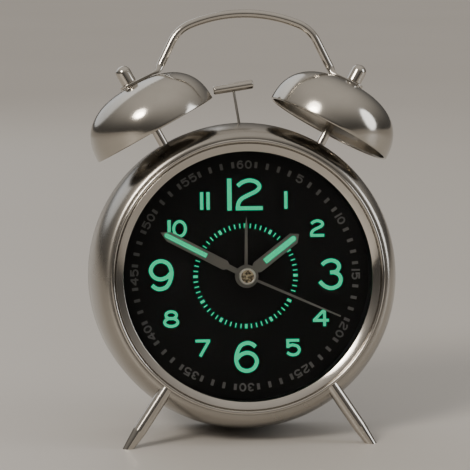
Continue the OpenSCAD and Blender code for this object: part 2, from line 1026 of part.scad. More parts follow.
module hand_cap() {
    color([0.8, 0.79, 0.77])
        stand()
            difference() {
                rotate_extrude()
                    polygon([[0, -second_hand_z + 0.02], [0, -cap_z - 0.35], [2.15, -cap_z - 0.35],
                        [2.35, -cap_z], [3.1, -cap_z], [3.3, -cap_z - 0.3], [3.3, -second_hand_z + 0.02]]);
                bar(shaft_r + 0.02, second_hand_z - 0.6, second_hand_z + 1);
            }
}

// ---- Movement housing -------------------------------------------------------

module box_outline(inset) {
    translate([-box_w / 2 + inset, box_low + inset])
        square([box_w - 2 * inset, box_high - box_low - 2 * inset]);
}

module at_posts() {
    for (x = [-post_x, post_x])
        for (y = [post_low_y, post_high_y])
            at([x, y])
                children();
}

module movement_front() {
    color([0.85, 0.85, 0.82])
        stand()
            difference() {
                union() {
                    difference() {
                        slab(box_front, box_split - fit - box_front)
                            box_outline(0);
                        slab(box_front + box_t, box_split)
                            box_outline(box_t);
                    }
                    slab(box_front, box_t)
                        translate([-ear_x - 3, -1])
                            square([2 * ear_x + 6, 6]);
                    at_posts()
                        bar(2.2, box_front + 0.5, plate_plane - fit);
                    bar(boss_out_r, dial_z + 0.2, box_front + box_t);
                }
                bar(boss_in_r, 0, box_front + box_t + 1);
                for (side = [-1, 1])
                    at([side * ear_x, 2])
                        bar(foot_pin_r + fit, 0, box_back);
                at_posts()
                    bar(0.95, box_front + 1.5, box_back);
                at(alarm_set_at)
                    bar(stem_pin_r + fit, box_front + 0.5, box_back);
                at(set_at)
                    bar(stem_pin_r + fit, box_front + 0.5, box_back);
            }
}

module movement_back() {
    color([0.8, 0.8, 0.78])
        stand()
            difference() {
                union() {
                    difference() {
                        slab(box_split, box_back - box_split)
                            box_outline(0);
                        slab(box_split - 1, box_back - box_split - box_t + 1)
                            box_outline(box_t);
                    }
                    at_posts()
                        bar(2.2, plate_plane + plate_t + fit, box_back - 0.5);
                    bar(1.8, second_plane + thin_t + 0.5, box_back - 0.5);
                    at(step_at)
                        bar(stud_pin_r, second_plane + 0.1, box_back - 0.5);
                    at(rotor_at)
                        bar(1.2, magnet_plane + 2.6, box_back - 0.5);
                    at(third_at)
                        bar(stud_pin_r, centre_plane + 0.1, box_back - 0.5);
                }
                bar(shaft_r + fit, 0, second_plane + 4);
                at(rotor_at)
                    bar(0.35, 0, magnet_plane + 4.2);
                at_posts()
                    bar(1, 0, box_back + 1);
                at(alarm_set_at)
                    bar(stem_pin_r + fit, 0, box_back + 1);
                at(set_at)
                    bar(stem_pin_r + fit, 0, box_back + 1);
            }
}

module movement_plate() {
    color([0.75, 0.68, 0.45])
        stand() {
            difference() {
                slab(plate_plane, plate_t)
                    box_outline(box_t + 0.1);
                bar(minute_tube_r + 0.08, 0, box_back);
                at(alarm_set_at)
                    bar(stem_pin_r + fit, 0, box_back);
                at(set_at)
                    bar(stem_pin_r + fit, 0, box_back);
                at_posts()
                    bar(1, 0, box_back);
            }
            at(minute_wheel_at)
                bar(stud_pin_r, hour_plane + 0.1, plate_plane + plate_t / 2);
        }
}

module movement_screws() {
    color([0.6, 0.6, 0.62])
        stand()
            at_posts() {
                bar(0.9, plate_plane - 4, box_back + 0.5);
                difference() {
                    bar(1.9, box_back + fit, box_back + 1.2);
                    translate([-1.4, -0.25, -box_back - 2])
                        cube([2.8, 0.5, 1.3]);
                }
            }
}

module circuit_board() {
    color([0.1, 0.35, 0.2])
        stand() {
            slab(box_back - box_t - 1.6, 1)
                translate([-24.5, 1])
                    square([17, 19]);
            slab(box_back - box_t - 2.8, 1.3)
                translate([-20, 6])
                    square([5, 5]);
            slab(box_back - box_t - 2.1, 0.6)
                for (i = [0:3])
                    translate([-12, 4 + 3.5 * i])
                        square([2, 1.2]);
        }
}

module quartz_crystal() {
    color([0.78, 0.78, 0.8])
        stand()
            translate([-21, 15.5, -box_back + box_t + 1.6 + 1.06])
                rotate([0, 90, 0])
                    cylinder(h = 7.5, r = 1.05);
}

stator_z = magnet_plane + 0.5;
coil_at = [17, 4];
coil_len = 15;

module stepper_stator() {
    color([0.55, 0.55, 0.58])
        stand()
            slab(stator_z, 1)
                difference() {
                    union() {
                        at_2d(rotor_at)
                            circle(r = 4.6);
                        translate([rotor_at[0] + 1, rotor_at[1] + 1])
                            square([6.5, 3.4]);
                        translate([rotor_at[0] + 5, rotor_at[1] + 1])
                            square([2.5, coil_at[1] + coil_len / 2 + 2.4 - rotor_at[1]]);
                        translate([rotor_at[0] + 5, coil_at[1] + coil_len / 2 + 0.9])
                            square([coil_at[0] + 1 - rotor_at[0] - 5, 2.5]);
                        translate([coil_at[0] - 1, coil_at[1] - coil_len / 2 - 1.2])
                            square([2, coil_len + 4.4]);
                    }
                    at_2d(rotor_at)
                        circle(r = magnet_r + 0.35);
                }
}

module at_2d(p) {
    translate([p[0], p[1]])
        children();
}

module stepper_coil() {
    color([0.65, 0.32, 0.12])
        stand()
            difference() {
                translate([coil_at[0], coil_at[1] - coil_len / 2, -stator_z - 0.5])
                    rotate([-90, 0, 0]) {
                        cylinder(h = coil_len, r = 2.7);
                        cylinder(h = 0.8, r = 3.3);
                        translate([0, 0, coil_len - 0.8])
                            cylinder(h = 0.8, r = 3.3);
                    }
                slab(stator_z - fit, 1 + 2 * fit)
                    translate([coil_at[0] - 1 - fit, coil_at[1] - coil_len])
                        square([2 + 2 * fit, 2 * coil_len]);
            }
}

// ---- Going train ------------------------------------------------------------

module rotor_magnet() {
    color([0.3, 0.3, 0.32])
        stand()
            at(rotor_at) {
                bar(magnet_r, magnet_plane, magnet_plane + 2);
                bar(0.3, step_plane + 0.1, magnet_plane + 4);
            }
}

module rotor_pinion() {
    color([0.9, 0.9, 0.85])
        stand()
            at(rotor_at)
                wheel(step_m, rotor_leaves, rotor_phase, step_plane, thin_t, 0.32);
}

module intermediate_wheel() {
    color([0.9, 0.9, 0.85])
        stand()
            at(step_at) {
                wheel(second_m, step_leaves, step_leaf_phase, second_plane, step_plane - second_plane,
                    stud_pin_r + fit);
                spoked_wheel(step_m, step_teeth, 0, step_plane, thin_t, stud_pin_r + fit, 1.3, 3.4);
            }
}

module second_wheel() {
    color([0.9, 0.9, 0.85])
        stand() {
            wheel(third_m, second_leaves, 0, third_plane, second_plane - third_plane, shaft_r + 0.02);
            spoked_wheel(second_m, second_teeth, second_phase, second_plane, thin_t, shaft_r + 0.02, 2, 5);
        }
}

module second_shaft() {
    color([0.75, 0.75, 0.77])
        stand()
            bar(shaft_r, second_hand_z - 0.5, second_plane + 3.5);
}

module third_wheel() {
    color([0.9, 0.9, 0.85])
        stand()
            at(third_at) {
                wheel(centre_m, third_leaves, 0, centre_plane, third_plane - centre_plane,
                    stud_pin_r + fit);
                spoked_wheel(third_m, third_teeth, third_phase, third_plane, wheel_t, stud_pin_r + fit,
                    2.6, 6.6);
            }
}

module centre_wheel() {
    color([0.9, 0.9, 0.85])
        stand()
            spoked_wheel(centre_m, centre_teeth, centre_phase, centre_plane, wheel_t,
                minute_tube_r + fit, 2.6, 6.8);
}

module cannon_pinion() {
    color([0.9, 0.9, 0.85])
        stand()
            wheel(motion_m, cannon_teeth, 0, motion_plane, wheel_t, minute_tube_r + 0.02);
}

module minute_tube() {
    color([0.8, 0.65, 0.35])
        stand()
            tube(minute_tube_r, minute_tube_in, minute_hand_z, centre_plane + wheel_t);
}

module minute_wheel() {
    color([0.9, 0.9, 0.85])
        stand()
            at(minute_wheel_at) {
                wheel(motion_m, minute_leaves, 0, hour_plane, motion_plane - hour_plane,
                    stud_pin_r + fit);
                spoked_wheel(motion_m, minute_teeth, minute_phase, motion_plane, wheel_t,
                    stud_pin_r + fit, 1.6, 4.4);
            }
}

module hour_wheel() {
    color([0.9, 0.9, 0.85])
        stand()
            wheel(motion_m, hour_teeth, hour_phase, hour_plane, wheel_t, hour_tube_r + 0.02);
}

module hour_tube() {
    color([0.8, 0.65, 0.35])
        stand()
            tube(hour_tube_r, hour_tube_in, hour_hand_z, hour_plane + wheel_t);
}

module alarm_wheel() {
    color([0.9, 0.9, 0.85])
        stand()
            wheel(alarm_m, alarm_teeth, 0, alarm_plane, wheel_t, alarm_tube_r + 0.02);
}

module alarm_tube() {
    color([0.8, 0.65, 0.35])
        stand()
            tube(alarm_tube_r, alarm_tube_in, alarm_hand_z, alarm_plane + wheel_t);
}

module time_set_gear() {
    color([0.9, 0.9, 0.85])
        stand()
            at(set_at)
                wheel(motion_m, set_teeth, set_phase, motion_plane, wheel_t, stem_pin_r + 0.02);
}

module time_set_stem() {
    color([0.75, 0.75, 0.77])
        stand()
            at(set_at)
                bar(stem_pin_r, box_front + 0.8, case_d + gap + knob_h - 1.8);
}

module alarm_set_gear() {
    color([0.9, 0.9, 0.85])
        stand()
            at(alarm_set_at)
                wheel(alarm_m, alarm_leaves, alarm_set_phase, alarm_plane, wheel_t, stem_pin_r + 0.02);
}

module alarm_set_stem() {
    color([0.75, 0.75, 0.77])
        stand()
            at(alarm_set_at)
                bar(stem_pin_r, box_front + 0.8, case_d + gap + knob_h - 1.8);
}

case_shell();
bezel_ring();
lens();
dial_spacer_ring();
dial_plate();
bell_left();
bell_right();
bell_posts();
bell_bolts();
cap_nuts();
handle();
leg_left();
leg_right();
back_cover();
back_cover_screws();
battery_door();
battery_cell();
battery_contacts();
alarm_switch_slider();
alarm_switch_body();
time_set_knob();
alarm_set_knob();
hammer_head();
hammer_stem();
hammer_hub();
hammer_bracket();
hammer_pivot_pin();
ringer_coil();
ringer_core();
hour_hand();
minute_hand();
second_hand();
alarm_hand();
hand_cap();
movement_front();
movement_back();
movement_plate();
movement_screws();
circuit_board();
quartz_crystal();
stepper_coil();
stepper_stator();
rotor_magnet();
rotor_pinion();
intermediate_wheel();
second_wheel();
second_shaft();
third_wheel();
centre_wheel();
cannon_pinion();
minute_tube();
minute_wheel();
hour_wheel();
hour_tube();
alarm_wheel();
alarm_tube();
time_set_gear();
time_set_stem();
alarm_set_gear();
alarm_set_stem();
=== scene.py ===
import json
from math import acos, cos, pi, radians, sin, sqrt, tan

import bmesh
import bpy
from mathutils import Matrix, Vector


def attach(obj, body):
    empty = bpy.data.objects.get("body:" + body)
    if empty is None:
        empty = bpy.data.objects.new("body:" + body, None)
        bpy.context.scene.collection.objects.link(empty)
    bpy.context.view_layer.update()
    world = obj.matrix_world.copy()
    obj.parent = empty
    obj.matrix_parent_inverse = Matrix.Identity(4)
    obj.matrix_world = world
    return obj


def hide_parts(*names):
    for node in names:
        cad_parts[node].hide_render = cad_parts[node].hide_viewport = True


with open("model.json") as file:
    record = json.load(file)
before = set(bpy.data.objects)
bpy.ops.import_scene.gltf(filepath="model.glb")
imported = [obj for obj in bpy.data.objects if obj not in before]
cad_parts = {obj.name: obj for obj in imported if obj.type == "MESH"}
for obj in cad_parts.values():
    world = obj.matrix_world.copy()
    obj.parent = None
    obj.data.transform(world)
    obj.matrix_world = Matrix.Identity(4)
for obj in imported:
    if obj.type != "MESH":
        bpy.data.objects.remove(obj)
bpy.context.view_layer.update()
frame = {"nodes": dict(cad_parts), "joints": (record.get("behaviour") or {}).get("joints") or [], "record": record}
nodes = frame["nodes"]
joints = {j["name"]: j for j in frame["joints"]}

MM = 0.001
TINY = 1e-6

# ---- The clock's own frame: x right, y up the dial, z towards the reader, in mm ----
# The second hand's joint lies JOINT_DEPTH behind the plane z = 0, which the bezel's bead touches.
LEAN = radians(7.6)
JOINT_DEPTH = 20.0
hub = Vector(joints["second_hand_turn"]["pos_m"])
into = Vector(joints["second_hand_turn"]["axis"]).normalized()
up = Vector((0, sin(LEAN), cos(LEAN)))
right = Vector((1, 0, 0))
bezel_plane = hub - into * JOINT_DEPTH * MM
STAND = Matrix((
    (right.x * MM, up.x * MM, -into.x * MM, bezel_plane.x),
    (right.y * MM, up.y * MM, -into.y * MM, bezel_plane.y),
    (right.z * MM, up.z * MM, -into.z * MM, bezel_plane.z),
    (0, 0, 0, 1)))

# ---- Sizes shared with the CAD, in mm ----
# Drum: radius and wall, lip round the bezel, depth of the rounded shoulder, plane of the back cover
CASE_R, WALL = 60.0, 1.0
LIP_R, LIP_Z, SHOULDER_D, COVER_Z = 53.3, 1.5, 20.4, 42.5
# Bezel: radius of the window, radius and size of the bead on its front
WINDOW_R, BEAD_R, BEAD_S = 48.3, 52.4, 0.7
# Depths of the dial and of the lens
DIAL_Z, LENS_Z = 12.7, 2.7
# Bells: rim radius, height, wall and the power of the curve; middle of the rim, and the tilt
BELL_R, BELL_H, BELL_T, BELL_POWER = 25.6, 19.8, 1.0, 2.5
BELL_X, BELL_Y, BELL_Z, BELL_TILT = 33.95, 57.1, 17.9, radians(28.9)
# Cap nuts: radius, length of the straight side, height of the base above the bell's rim
NUT_R, NUT_SIDE, NUT_LOW = 3.0, 4.6, 21.05
BOLT_R = 1.5
# Handle: tab under the nut, then the rod with its crown, corners and straight legs
TAB_LOW, TAB_T, TAB_W = 19.85, 1.15, 6.4
ROD_R, HANDLE_Y, CROWN_R, CORNER_R = 1.65, 102.5, 57.0, 14.0
HANDLE_SLOPE, HANDLE_HALF, HANDLE_GAUGE, HANDLE_SHIFT = radians(63.8), 30.1, 88.5, 1.2
# Hammer: length of the stem, head, lean at rest and place of the pivot
HAMMER_L, HEAD_R, HEAD_L, HAMMER_LEAN, PIVOT = 30.1, 1.75, 15.8, radians(8.9), (1.2, 44.0)
# Slot in the drum's top for the hammer
SLOT_W, SLOT_T = 9.0, 3.4
# Hands: clockwise angle in degrees, and depth of the front face
HOUR_AT, MINUTE_AT, HOUR_Z, MINUTE_Z = 52.3, 297.6, 9.8, 8.4
# Cap on the hands: depth of its front, outer and inner radius, and depth of the second hand
CAP_Z, CAP_R, CAP_IN, SECOND_Z = 5.5, 3.3, 2.5, 6.9


# ---- Materials ----
class Nodes:
    """Short names for building one node tree."""

    def __init__(self, name):
        self.mat = bpy.data.materials.new(name)
        self.mat.use_nodes = True
        self.tree = self.mat.node_tree
        self.shader = self.tree.nodes["Principled BSDF"]
        self.where = self.tree.nodes.new("ShaderNodeTexCoord").outputs["Object"]

    def node(self, kind, **inputs):
        n = self.tree.nodes.new(kind)
        for key, value in inputs.items():
            n.inputs[key.replace("_", " ")].default_value = value
        return n

    def link(self, a, b):
        self.tree.links.new(a, b)

    def stretched(self, scale):
        m = self.node("ShaderNodeMapping")
        m.inputs["Scale"].default_value = scale
        self.link(self.where, m.inputs["Vector"])
        return m.outputs["Vector"]

    def noise(self, scale, detail=3.0, rough=0.55, at=None):
        n = self.node("ShaderNodeTexNoise", Scale=scale, Detail=detail, Roughness=rough)
        self.link(at or self.where, n.inputs["Vector"])
        return n.outputs["Fac"]

    def ramp(self, fac, low, high, start=0.3, end=0.7):
        n = self.node("ShaderNodeMapRange")
        n.inputs["From Min"].default_value = start
        n.inputs["From Max"].default_value = end
        n.inputs["To Min"].default_value = low
        n.inputs["To Max"].default_value = high
        self.link(fac, n.inputs["Value"])
        return n.outputs["Result"]

    def mix(self, fac, a, b):
        n = self.tree.nodes.new("ShaderNodeMix")
        n.data_type = "RGBA"
        n.inputs["A"].default_value = (*a, 1)
        n.inputs["B"].default_value = (*b, 1)
        self.link(fac, n.inputs["Factor"])
        return n.outputs["Result"]

    def bump(self, fac, strength, distance):
        n = self.node("ShaderNodeBump", Strength=strength, Distance=distance)
        self.link(fac, n.inputs["Height"])
        return n

    def set(self, **values):
        for key, value in values.items():
            self.shader.inputs[key.replace("_", " ")].default_value = value


def polished(name, tint, dark, rough, smudge, scratch=0.04):
    """Plated metal: smudges in the gloss, a slight cast in the colour, hairline scratches."""
    n = Nodes(name)
    n.set(Metallic=1.0)
    wide = n.noise(38.0, 4.0)
    fine = n.noise(420.0, 2.0)
    n.link(n.mix(n.ramp(wide, 0.0, 1.0, 0.35, 0.7), tint, dark), n.shader.inputs["Base Color"])
    n.link(n.ramp(wide, rough, smudge, 0.38, 0.72), n.shader.inputs["Roughness"])
    hair = n.noise(900.0, 2.0, at=n.stretched((1.0, 0.2, 0.05)))
    first = n.bump(hair, scratch, 0.00002)
    second = n.bump(fine, scratch * 0.6, 0.00003)
    n.link(first.outputs["Normal"], second.inputs["Normal"])
    n.link(second.outputs["Normal"], n.shader.inputs["Normal"])
    return n.mat


def moulded(name, colour, light, rough=0.5, grain=700.0, depth=0.00004, strength=0.25,
            spec=0.4):
    """Moulded plastic with a fine spark-eroded grain and slight unevenness."""
    n = Nodes(name)
    n.set(Specular_IOR_Level=spec)
    wide = n.noise(45.0, 3.0)
    n.link(n.mix(n.ramp(wide, 0.0, 1.0), colour, light), n.shader.inputs["Base Color"])
    n.link(n.ramp(wide, rough - 0.06, rough + 0.08), n.shader.inputs["Roughness"])
    skin = n.bump(n.noise(grain, 2.0), strength, depth)
    n.link(skin.outputs["Normal"], n.shader.inputs["Normal"])
    return n.mat


def brushed(name, tint, dark, rough, along=(1.0, 1.0, 30.0)):
    """Satin metal with a directional grain."""
    n = Nodes(name)
    n.set(Metallic=1.0)
    grain = n.noise(160.0, 4.0, 0.6, at=n.stretched(along))
    wide = n.noise(30.0, 3.0)
    n.link(n.mix(n.ramp(wide, 0.0, 1.0), tint, dark), n.shader.inputs["Base Color"])
    n.link(n.ramp(grain, rough - 0.06, rough + 0.08), n.shader.inputs["Roughness"])
    n.link(n.bump(grain, 0.06, 0.00003).outputs["Normal"], n.shader.inputs["Normal"])
    return n.mat


def glowing(name, colour, glow, strength):
    """Luminous paint: slightly grainy pigment that gives off its own light."""
    n = Nodes(name)
    grain = n.noise(1400.0, 2.0)
    n.link(n.mix(n.ramp(grain, 0.0, 1.0), colour, tuple(c * 0.88 for c in colour)),
           n.shader.inputs["Base Color"])
    n.link(n.mix(n.ramp(grain, 0.0, 1.0), glow, tuple(c * 0.9 for c in glow)),
           n.shader.inputs["Emission Color"])
    n.set(Emission_Strength=strength, Roughness=0.75, Specular_IOR_Level=0.15)
    n.link(n.bump(grain, 0.2, 0.00003).outputs["Normal"], n.shader.inputs["Normal"])
    return n.mat


def stained(name, tint, dark):
    """Turned metal with dark stains in its hollows."""
    n = Nodes(name)
    n.set(Metallic=1.0)
    spots = n.noise(900.0, 4.0, 0.6)
    n.link(n.mix(n.ramp(spots, 0.0, 1.0, 0.42, 0.58), tint, dark), n.shader.inputs["Base Color"])
    n.link(n.ramp(spots, 0.25, 0.5), n.shader.inputs["Roughness"])
    n.link(n.bump(spots, 0.6, 0.0003).outputs["Normal"], n.shader.inputs["Normal"])
    return n.mat


def glass(name):
    n = Nodes(name)
    n.set(Transmission_Weight=1.0, IOR=1.2, Base_Color=(0.97, 0.98, 0.98, 1))
    n.link(n.ramp(n.noise(30.0, 2.0), 0.0, 0.02), n.shader.inputs["Roughness"])
    return n.mat


CHROME = polished("chrome_plate", (0.55, 0.52, 0.47), (0.47, 0.44, 0.40), 0.08, 0.16)
BELL = polished("bell_plate", (0.51, 0.48, 0.43), (0.43, 0.405, 0.36), 0.12, 0.22)
NICKEL = polished("satin_nickel", (0.42, 0.395, 0.355), (0.39, 0.365, 0.325), 0.22, 0.29, 0.03)
STEEL = brushed("plain_steel", (0.34, 0.33, 0.31), (0.28, 0.27, 0.25), 0.36)
HAND = brushed("hand_metal", (0.27, 0.26, 0.235), (0.21, 0.20, 0.18), 0.42, (20.0, 1.0, 1.0))
DIAL = moulded("dial_black", (0.0022, 0.0022, 0.0022), (0.004, 0.0038, 0.0036), 0.6, 1500.0,
               0.00002, 0.2, 0.15)
SPACER = moulded("spacer_black", (0.004, 0.004, 0.004), (0.007, 0.007, 0.007), 0.6,
                 spec=0.2)
LUME = glowing("luminous_paint", (0.004, 0.16, 0.08), (0.0, 0.62, 0.27), 1.0)
PRINT = moulded("grey_print", (0.15, 0.148, 0.14), (0.12, 0.118, 0.112), 0.6, 1200.0)
COVER = moulded("black_cover", (0.027, 0.027, 0.028), (0.035, 0.035, 0.036), 0.44, 900.0,
                0.00008, 0.5)
KNOB = moulded("black_knob", (0.032, 0.032, 0.033), (0.042, 0.042, 0.044), 0.32, 500.0)
GLASS = glass("lens_glass")
CELL = moulded("cell_wrap", (0.05, 0.08, 0.13), (0.06, 0.1, 0.15), 0.3, 300.0)
WINDING = brushed("copper_wire", (0.5, 0.2, 0.08), (0.42, 0.16, 0.06), 0.35, (1.0, 60.0, 1.0))
HOUSING = moulded("housing_white", (0.62, 0.62, 0.59), (0.56, 0.56, 0.53), 0.45)
BRASS = brushed("turned_brass", (0.7, 0.52, 0.24), (0.62, 0.45, 0.2), 0.28)
RING = brushed("turned_ring", (0.80, 0.77, 0.70), (0.66, 0.63, 0.57), 0.34, (1.0, 1.0, 12.0))
WORN = stained("worn_brass", (0.56, 0.47, 0.31), (0.07, 0.055, 0.035))
BOARD = moulded("green_board", (0.02, 0.12, 0.05), (0.03, 0.16, 0.07), 0.4)
MAGNET = brushed("ground_magnet", (0.16, 0.16, 0.17), (0.12, 0.12, 0.13), 0.4)
GEAR = moulded("gear_nylon", (0.72, 0.71, 0.64), (0.66, 0.65, 0.58), 0.42)

BY_SLOT = {
    "drum": NICKEL, "bezel": CHROME, "bell": BELL, "bright_steel": CHROME, "steel": STEEL,
    "lens": GLASS, "spacer": SPACER, "dial": DIAL, "lume": LUME, "print": PRINT, "hand": HAND,
    "cover": COVER, "knob": KNOB, "cell": CELL, "winding": WINDING, "housing": HOUSING,
    "brass": BRASS, "board": BOARD, "magnet": MAGNET, "gear": GEAR}
for part in frame["record"]["subparts"]:
    obj = nodes[part["node"]]
    obj.data.materials.clear()
    obj.data.materials.append(BY_SLOT[part["material_slot"]])


# ---- Mesh building ----
def make(name, verts, faces, place, body, slot, replaced=(), smooth=35.0):
    """A mesh piece from points in mm in the frame `place`, riding on a body.

    Where the mesh is closed, its faces are turned to face outwards.
    """
    mesh = bpy.data.meshes.new(name)
    mesh.from_pydata([place @ Vector(v) for v in verts], [], faces)
    mesh.validate()
    shell = bmesh.new()
    shell.from_mesh(mesh)
    if all(edge.is_manifold for edge in shell.edges):
        bmesh.ops.recalc_face_normals(shell, faces=shell.faces)
    shell.to_mesh(mesh)
    shell.free()
    for p in mesh.polygons:
        p.use_smooth = True
    mesh.set_sharp_from_angle(angle=radians(smooth))
    mesh.materials.append(BY_SLOT[slot])
    obj = bpy.data.objects.new(name, mesh)
    bpy.context.scene.collection.objects.link(obj)
    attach(obj, body)
    if replaced:
        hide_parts(*replaced)
    return obj


def circle(r, h, sides):
    """A ring of points at one height."""
    return [(r * cos(2 * pi * i / sides), r * sin(2 * pi * i / sides), h) for i in range(sides)]


def disc_faces(rings, sides):
    """Faces of a disc whose first point is its middle, followed by its rings."""
    faces = []
    for i in range(rings):
        for k in range(sides):
            a, b = 1 + sides * i + k, 1 + sides * i + (k + 1) % sides
            faces.append((0, a, b) if i == 0 else (a - sides, a, b, b - sides))
    return faces


def lathe(profile, sides, closed=True):
    """Rings of a turned shape from (radius, height) points; radius 0 makes a pole."""
    verts, rings, faces = [], [], []
    for r, h in profile:
        if r < TINY:
            rings.append([len(verts)])
            verts.append((0, 0, h))
        else:
            rings.append(list(range(len(verts), len(verts) + sides)))
            verts += circle(r, h, sides)
    pairs = list(zip(rings, rings[1:]))
    if closed:
        pairs.append((rings[-1], rings[0]))
    for a, b in pairs:
        for i in range(sides):
            j = (i + 1) % sides
            if len(a) == 1 and len(b) == 1:
                break
            if len(a) == 1:
                faces.append((a[0], b[j], b[i]))
            elif len(b) == 1:
                faces.append((a[i], a[j], b[0]))
            else:
                faces.append((a[i], a[j], b[j], b[i]))
    return verts, faces


def fillet(profile, radius, steps=4):
    """Rounds the corners of an open profile; beside a short side the curve is smaller."""
    out = [profile[0]]
    for a, p, b in zip(profile, profile[1:], profile[2:]):
        va, vb = Vector(a) - Vector(p), Vector(b) - Vector(p)
        if va.length < TINY or vb.length < TINY:
            continue
        cut = min(radius, va.length * 0.45, vb.length * 0.45)
        s, e = Vector(p) + va.normalized() * cut, Vector(p) + vb.normalized() * cut
        for k in range(steps + 1):
            t = k / steps
            out.append(tuple((1 - t) ** 2 * s + 2 * t * (1 - t) * Vector(p) + t * t * e))
    out.append(profile[-1])
    return out


def bell_frame(side):
    """+Z runs up the bell axis from the rim centre."""
    return (STAND @ Matrix.Translation((side * BELL_X, BELL_Y, -BELL_Z))
            @ Matrix.Rotation(-side * BELL_TILT, 4, "Z") @ Matrix.Rotation(-pi / 2, 4, "X"))


def arc_points(r, h, cx, ch, a0, a1, steps):
    """Points on an ellipse arc in a turned profile, angles in degrees."""
    turns = [radians(a0 + (a1 - a0) * k / steps) for k in range(steps + 1)]
    return [(cx + r * cos(a), ch + h * sin(a)) for a in turns]


# ---- Bells ----
SIDES = (-1, "left"), (1, "right")
BELL_SIDES = 160
HALF_T = BELL_T / 2
# The bell's curve starts just outside the bolt's hole
CURVE_FROM = BOLT_R + 0.1


def bell_curve(r, h, steps=40):
    """Quarter of a superellipse from the bell's middle to its rim."""
    turns = [pi / 2 * i / steps for i in range(steps + 1)]
    power = 2 / BELL_POWER
    return [(r * sin(a) ** power, h * cos(a) ** power) for a in turns]


for side, word in SIDES:
    outer = [p for p in bell_curve(BELL_R, BELL_H) if p[0] > CURVE_FROM]
    inner = [p for p in bell_curve(BELL_R - BELL_T, BELL_H - BELL_T) if p[0] > CURVE_FROM]
    hole = [(BOLT_R, inner[0][1]), (BOLT_R, outer[0][1])]
    rim = arc_points(HALF_T, HALF_T, BELL_R - HALF_T, HALF_T, 0, -180, 8)
    skin = [p for p in outer if p[1] > HALF_T] + rim + [p for p in inner[::-1] if p[1] > HALF_T]
    make("bell_%s_skin" % word, *lathe(hole + skin, BELL_SIDES), bell_frame(side), "case",
         "bell", ("bell_" + word,))


# ---- Handle ----
def along(points, spacing):
    """The same path as evenly spaced points."""
    out, left = [points[0]], spacing
    for a, b in zip(points, points[1:]):
        seg = (b - a).length
        while seg >= left:
            a = a + (b - a) * (left / seg)
            out.append(a)
            seg, left = (b - a).length, spacing
        left -= seg
    return out + [points[-1]]


def arc(centre, r, a0, a1, steps=14):
    """Points on a circle's arc, angles in radians."""
    turns = [a0 + (a1 - a0) * k / steps for k in range(steps + 1)]
    return [Vector((centre[0] + r * cos(a), centre[1] + r * sin(a))) for a in turns]


# Each leg and tab has a direction, going outwards and down, and a normal.
leg_n = Vector((sin(HANDLE_SLOPE), cos(HANDLE_SLOPE)))
leg_d = Vector((cos(HANDLE_SLOPE), -sin(HANDLE_SLOPE)))
TAB_TILT = BELL_TILT - radians(3.0)
bell_n = Vector((sin(BELL_TILT), cos(BELL_TILT)))
tab_n = Vector((sin(TAB_TILT), cos(TAB_TILT)))
tab_d = Vector((cos(TAB_TILT), -sin(TAB_TILT)))
leg_reach = leg_n.dot(Vector((HANDLE_HALF, HANDLE_GAUGE))) - CORNER_R
crown_turn = HANDLE_SLOPE - acos((leg_reach - leg_n.y * (HANDLE_Y - CROWN_R))
                                 / (CROWN_R - CORNER_R))
# Radius of the bend, the tab's length past the bell's axis, the length over which the rod
# flattens and how far before the bend that starts
BEND_R, TAB_END, FLATTEN, FLAT_EARLY = 3.0, 4.2, 5.5, 2.0
# How much squarer than the rod the tab's section is, and the square of the least part of its
# width that the rounded end keeps
SQUARER, LEAST_END = 3.0, 0.03


def half_handle(offset):
    """The right half's centre line, from crown to tab end, and the point where it bends."""
    crown = Vector((offset, HANDLE_Y - CROWN_R))
    corner = crown + (CROWN_R - CORNER_R) * Vector((sin(crown_turn), cos(crown_turn)))
    end = corner + CORNER_R * leg_n
    start = Vector((BELL_X, BELL_Y)) + (TAB_LOW + TAB_T / 2) * bell_n
    knee = end - tab_n.dot(end - start) / tab_n.dot(leg_d) * leg_d
    bend = knee - BEND_R * tan((HANDLE_SLOPE - TAB_TILT) / 2) * leg_d
    pts = arc(crown, CROWN_R, pi / 2, pi / 2 - crown_turn)
    pts += arc(corner, CORNER_R, pi / 2 - crown_turn, pi / 2 - HANDLE_SLOPE)[1:]
    pts += [bend] + arc(bend + BEND_R * leg_n, BEND_R, 1.5 * pi - HANDLE_SLOPE,
                        1.5 * pi - TAB_TILT)[1:]
    return pts + [start + TAB_END * tab_d], bend


def length(points):
    return sum((b - a).length for a, b in zip(points, points[1:]))


def smoothstep(t):
    t = min(1.0, max(0.0, t))
    return t * t * (3 - 2 * t)


